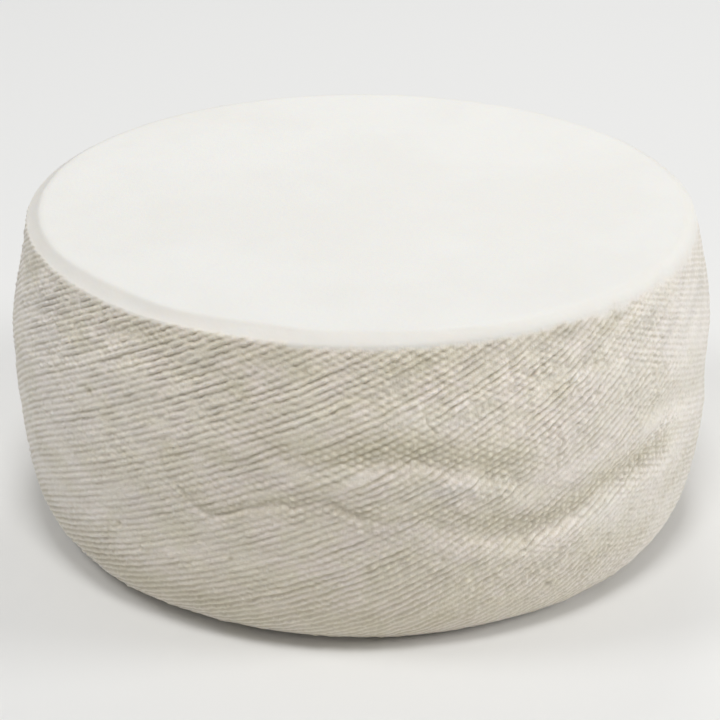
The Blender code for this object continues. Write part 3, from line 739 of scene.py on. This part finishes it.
    loops = np.concatenate(faces).astype(np.int32)
    sizes = np.concatenate(sizes).astype(np.int32)
    mesh = bpy.data.meshes.new("cheese_rind")
    mesh.vertices.add(len(co))
    mesh.vertices.foreach_set("co", (co / 1000.0).astype(np.float32).ravel())
    mesh.loops.add(len(loops))
    mesh.loops.foreach_set("vertex_index", loops)
    mesh.polygons.add(len(sizes))
    mesh.polygons.foreach_set("loop_start", np.concatenate(([0], np.cumsum(sizes)[:-1])).astype(np.int32))
    mesh.update(calc_edges=True)
    layer = mesh.uv_layers.new(name="OFBake")
    layer.data.foreach_set("uv", np.concatenate(face_uv).astype(np.float32).ravel())
    edge = knots(np.degrees(np.arctan2(co[:, 0], -co[:, 1])), TOP_EDGE, wrap=360)
    reach = np.hypot(co[:, 0], co[:, 1])
    rim = smooth((reach - edge + 0.8) / 2.4) * (co[:, 2] > TOP_Z - 12)
    round_at = np.degrees(np.arctan2(co[:, 0], -co[:, 1]))
    pale = knots(round_at, PALE, wrap=360)
    for at, height, half_a, half_z, amount in PALER:
        pale += amount * np.exp(-((round_at - at) / half_a) ** 2 - ((co[:, 2] - height) / half_z) ** 2)
    pale = np.clip(pale, 0, 1)
    rim = rim * (1 - 0.5 * smooth((round_at - 15) / 25) * (1 - smooth((round_at - 100) / 30)))
    tone_and_painted_light = np.zeros(len(co))
    for at, height, half_a, half_z, amount in TONE_AND_PAINTED_LIGHT_PATCHES:
        tone_and_painted_light += amount * np.exp(-((round_at - at) / half_a) ** 2 - ((co[:, 2] - height) / half_z) ** 2)
    # and in streaks along the threads
    down = RIM_Z - co[:, 2]
    along = np.radians(round_at) * BELLY_R
    slant = down + 0.5 * along * (1 - smooth((np.abs(round_at) - 95) / 20))
    tone_and_painted_light += (0.25 + 0.75 * smooth((26 - down) / 10)) * noise(along, slant, 17, 4.5, 90)
    for name, values in (("hollow", hollow), ("smooth_rind", zone), ("olive_and_shade", olive_and_painted_shade), ("pale", pale), ("rim", rim), ("tone_and_painted_light", tone_and_painted_light)):
        mesh.attributes.new(name, "FLOAT", "POINT").data.foreach_set("value", values.astype(np.float32))
    mesh.shade_smooth()
    mesh.validate(verbose=False)
    wheel = bpy.data.objects.new("cheese_rind", mesh)
    bpy.context.scene.collection.objects.link(wheel)
    return wheel


# -------------------------------------------------------------- the materials
def nodes_of(name):
    material = bpy.data.materials.new(name)
    material.use_nodes = True
    tree = material.node_tree
    return material, tree, tree.nodes["Principled BSDF"]


def rind_material():
    material, tree, shader = nodes_of("cheese_rind")
    n, link = tree.nodes, tree.links

    def new(kind, **values):
        node = n.new(kind)
        for key, value in values.items():
            setattr(node, key, value)
        return node

    def mix(a, b, factor, blend="MIX"):
        node = new("ShaderNodeMix", data_type="RGBA", blend_type=blend)
        for socket, value in ((6, a), (7, b), (0, factor)):
            if isinstance(value, (tuple, float, int)):
                node.inputs[socket].default_value = value
            else:
                link.new(value, node.inputs[socket])
        return node.outputs[2]

    def curve(value, low, high, to_low=0.0, to_high=1.0):
        node = new("ShaderNodeMapRange", clamp=True)
        link.new(value, node.inputs[0])
        for i, v in ((1, low), (2, high), (3, to_low), (4, to_high)):
            node.inputs[i].default_value = v
        return node.outputs[0]

    def math_node(kind, a, b=None):
        node = new("ShaderNodeMath", operation=kind)
        for i, v in enumerate((a, b)):
            if v is None:
                continue
            if isinstance(v, (float, int)):
                node.inputs[i].default_value = v
            else:
                link.new(v, node.inputs[i])
        return node.outputs[0]

    place = new("ShaderNodeTexCoord").outputs["Object"]

    def spots(scale, detail=2.0, rough=0.5, seed=0.0):
        node = new("ShaderNodeTexNoise", noise_dimensions="4D")
        link.new(place, node.inputs["Vector"])
        node.inputs["W"].default_value = seed
        node.inputs["Scale"].default_value = scale
        node.inputs["Detail"].default_value = detail
        node.inputs["Roughness"].default_value = rough
        return node.outputs["Fac"]

    hollow = new("ShaderNodeAttribute", attribute_name="hollow").outputs["Fac"]
    top = new("ShaderNodeAttribute", attribute_name="smooth_rind").outputs["Fac"]
    olive_and_shade = new("ShaderNodeAttribute", attribute_name="olive_and_shade").outputs["Fac"]
    pale = new("ShaderNodeAttribute", attribute_name="pale").outputs["Fac"]
    rim = new("ShaderNodeAttribute", attribute_name="rim").outputs["Fac"]
    tone_and_painted_light = new("ShaderNodeAttribute", attribute_name="tone_and_painted_light").outputs["Fac"]

    # side: cream crests, hollows darkened olive (the rind's colour and painted shade), slow patches of greyer and
    # warmer rind
    side = mix((0.817, 0.756, 0.646, 1), (0.851, 0.775, 0.702, 1), curve(spots(90, 4, 0.62, 1.0), 0.45, 0.55))
    side = mix(side, (0.820, 0.739, 0.640, 1), curve(spots(110, 3, 0.6, 2.0), 0.56, 0.70, 0.0, 0.5))
    side = mix(side, (0.838, 0.804, 0.762, 1), math_node("MULTIPLY", pale, 0.80))
    # olive colour and painted shade: the shaded sides of fold troughs, just under the rim, and olive patches
    side = mix(side, (0.694, 0.648, 0.502, 1), math_node("MULTIPLY", olive_and_shade, curve(pale, 0.0, 1.0, 0.72, 0.45)))
    # groove colour: the rind's olive in the hollows, deepened as painted shade
    groove = mix((0.480, 0.420, 0.285, 1), (0.560, 0.500, 0.385, 1), curve(spots(40, 2, 0.5, 3.0), 0.4, 0.62))
    groove = mix(groove, (0.600, 0.560, 0.480, 1), math_node("MULTIPLY", pale, 0.7))
    deep = math_node("MULTIPLY", curve(hollow, 0.12, 0.95, 0.0, 0.70), curve(olive_and_shade, 0.0, 1.0, 0.88, 1.08))
    side = mix(side, groove, deep)
    speck = curve(spots(1100, 2, 0.6, 4.0), 0.56, 0.72, 0.0, 0.45)
    side = mix(side, (0.90, 0.87, 0.80, 1), speck)
    side = mix(side, (0.52, 0.46, 0.34, 1), curve(spots(900, 2, 0.6, 11.0), 0.60, 0.76, 0.0, 0.40))

    # lighter or darker by the rind's own tone and by painted light and shade, with a fine random mottle
    lighter = new("ShaderNodeVectorMath", operation="SCALE")
    link.new(side, lighter.inputs[0])
    mottle = curve(spots(2300, 2, 0.6, 14.0), 0.3, 0.7, 0.96, 1.04)
    link.new(math_node("MULTIPLY", curve(tone_and_painted_light, -2.0, 2.0, 0.80, 1.20), mottle), lighter.inputs["Scale"])
    side = lighter.outputs[0]

    # smooth top: paler, nearly neutral, faintly cloudy, with a few pale specks, and painted light: a little darker
    # towards the front and the left
    cream = mix((0.868, 0.862, 0.826, 1), (0.850, 0.840, 0.800, 1), curve(spots(28, 3, 0.55, 5.0), 0.42, 0.62))
    cream = mix(cream, (0.885, 0.880, 0.855, 1), curve(spots(260, 2, 0.5, 6.0), 0.66, 0.78, 0.0, 0.5))
    # painted light: the top is darkened towards the front and the left, where less light falls
    spot = new("ShaderNodeSeparateXYZ")
    link.new(place, spot.inputs[0])
    across = math_node("ADD", spot.outputs["Y"], math_node("MULTIPLY", spot.outputs["X"], 0.3))
    top_painted_light = new("ShaderNodeVectorMath", operation="SCALE")
    link.new(cream, top_painted_light.inputs[0])
    link.new(curve(across, -0.09, 0.09, 0.968, 1.0), top_painted_light.inputs["Scale"])
    cream = top_painted_light.outputs[0]
    lip = mix((0.798, 0.780, 0.732, 1), (0.812, 0.780, 0.724, 1), curve(spots(75, 3, 0.6, 13.0), 0.42, 0.60))
    cream = mix(cream, lip, math_node("MULTIPLY", rim, curve(spots(140, 3, 0.6, 12.0), 0.35, 0.65, 0.75, 1.0)))
    colour = mix(side, cream, top)
    link.new(colour, shader.inputs["Base Color"])

    rough = math_node("ADD", curve(spots(120, 3, 0.6, 7.0), 0.35, 0.65, 0.52, 0.66), math_node("MULTIPLY", hollow, 0.10))
    link.new(rough, shader.inputs["Roughness"])
    shader.inputs["Specular IOR Level"].default_value = 0.35
    shader.inputs["Subsurface Weight"].default_value = 0.12
    shader.inputs["Subsurface Radius"].default_value = (1.0, 0.75, 0.45)
    shader.inputs["Subsurface Scale"].default_value = 0.0025

    grain = math_node("ADD", math_node("MULTIPLY", spots(1900, 3, 0.6, 8.0), 0.6), math_node("MULTIPLY", spots(900, 2, 0.5, 9.0), 1.0))
    strength = math_node("MULTIPLY", grain, curve(top, 0.0, 1.0, 1.0, 0.18))
    bump = new("ShaderNodeBump")
    bump.inputs["Strength"].default_value = 0.8
    bump.inputs["Distance"].default_value = 0.0004
    link.new(strength, bump.inputs["Height"])
    link.new(bump.outputs["Normal"], shader.inputs["Normal"])
    return material


wheel = build_wheel()
wheel.data.materials.append(rind_material())
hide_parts("cheese_wheel")
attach(wheel, "root")


# ---------------------------------------------------- floor, light and camera
WORLD = 0.30
LAMPS = (   # name, place in metres, size, power in watts
    ("over_front", (0.00, -0.73, 2.00), 0.54, 15.1),
    ("right", (1.89, -0.21, 0.83), 0.80, 16.5),
    ("left_high", (-1.28, -0.21, 1.67), 0.64, 8.7),
    ("back_high", (0.11, 0.78, 0.80), 0.34, 1.60),
)


def studio():
    scene = bpy.context.scene
    material, tree, shader = nodes_of("studio_floor")
    shader.inputs["Base Color"].default_value = (0.84, 0.84, 0.83, 1)
    shader.inputs["Roughness"].default_value = 0.85
    shader.inputs["Specular IOR Level"].default_value = 0.2
    mesh = bpy.data.meshes.new("studio_floor")
    w = 4.0
    mesh.from_pydata([(-w, -w, 0), (w, -w, 0), (w, w, 0), (-w, w, 0)], [], [(0, 1, 2, 3)])
    floor = bpy.data.objects.new("studio_floor", mesh)
    floor.location.z = -0.0002
    mesh.materials.append(material)
    scene.collection.objects.link(floor)

    world = bpy.data.worlds.new("studio_world")
    world.use_nodes = True
    background = world.node_tree.nodes["Background"]
    background.inputs["Color"].default_value = (1.0, 1.0, 1.0, 1)
    background.inputs["Strength"].default_value = WORLD
    scene.world = world

    def area(name, where, at, size, power, colour=(1, 1, 1)):
        data = bpy.data.lights.new(name, "AREA")
        data.shape = "DISK"
        data.size = size
        data.energy = power
        data.color = colour
        lamp = bpy.data.objects.new(name, data)
        lamp.location = where
        lamp.rotation_euler = (Vector(at) - Vector(where)).to_track_quat("-Z", "Y").to_euler()
        scene.collection.objects.link(lamp)

    for name, where, size, power in LAMPS:
        area(name, where, (0, 0, 0.05), size, power)

    camera = bpy.data.cameras.new("camera")
    camera.sensor_width = 36.0
    camera.lens = 137.72
    camera.clip_start, camera.clip_end = 0.05, 20.0
    eye = bpy.data.objects.new("camera", camera)
    tilt = math.radians(24.78)
    eye.location = (0.0, -0.8 * math.cos(tilt), 0.0465 + 0.8 * math.sin(tilt))
    aim = Vector((-0.00038, 0.0, 0.0465 - 0.00415))
    eye.rotation_euler = (aim - eye.location).to_track_quat("-Z", "Y").to_euler()
    scene.collection.objects.link(eye)
    scene.camera = eye
    scene.view_settings.view_transform = "Standard"


studio()
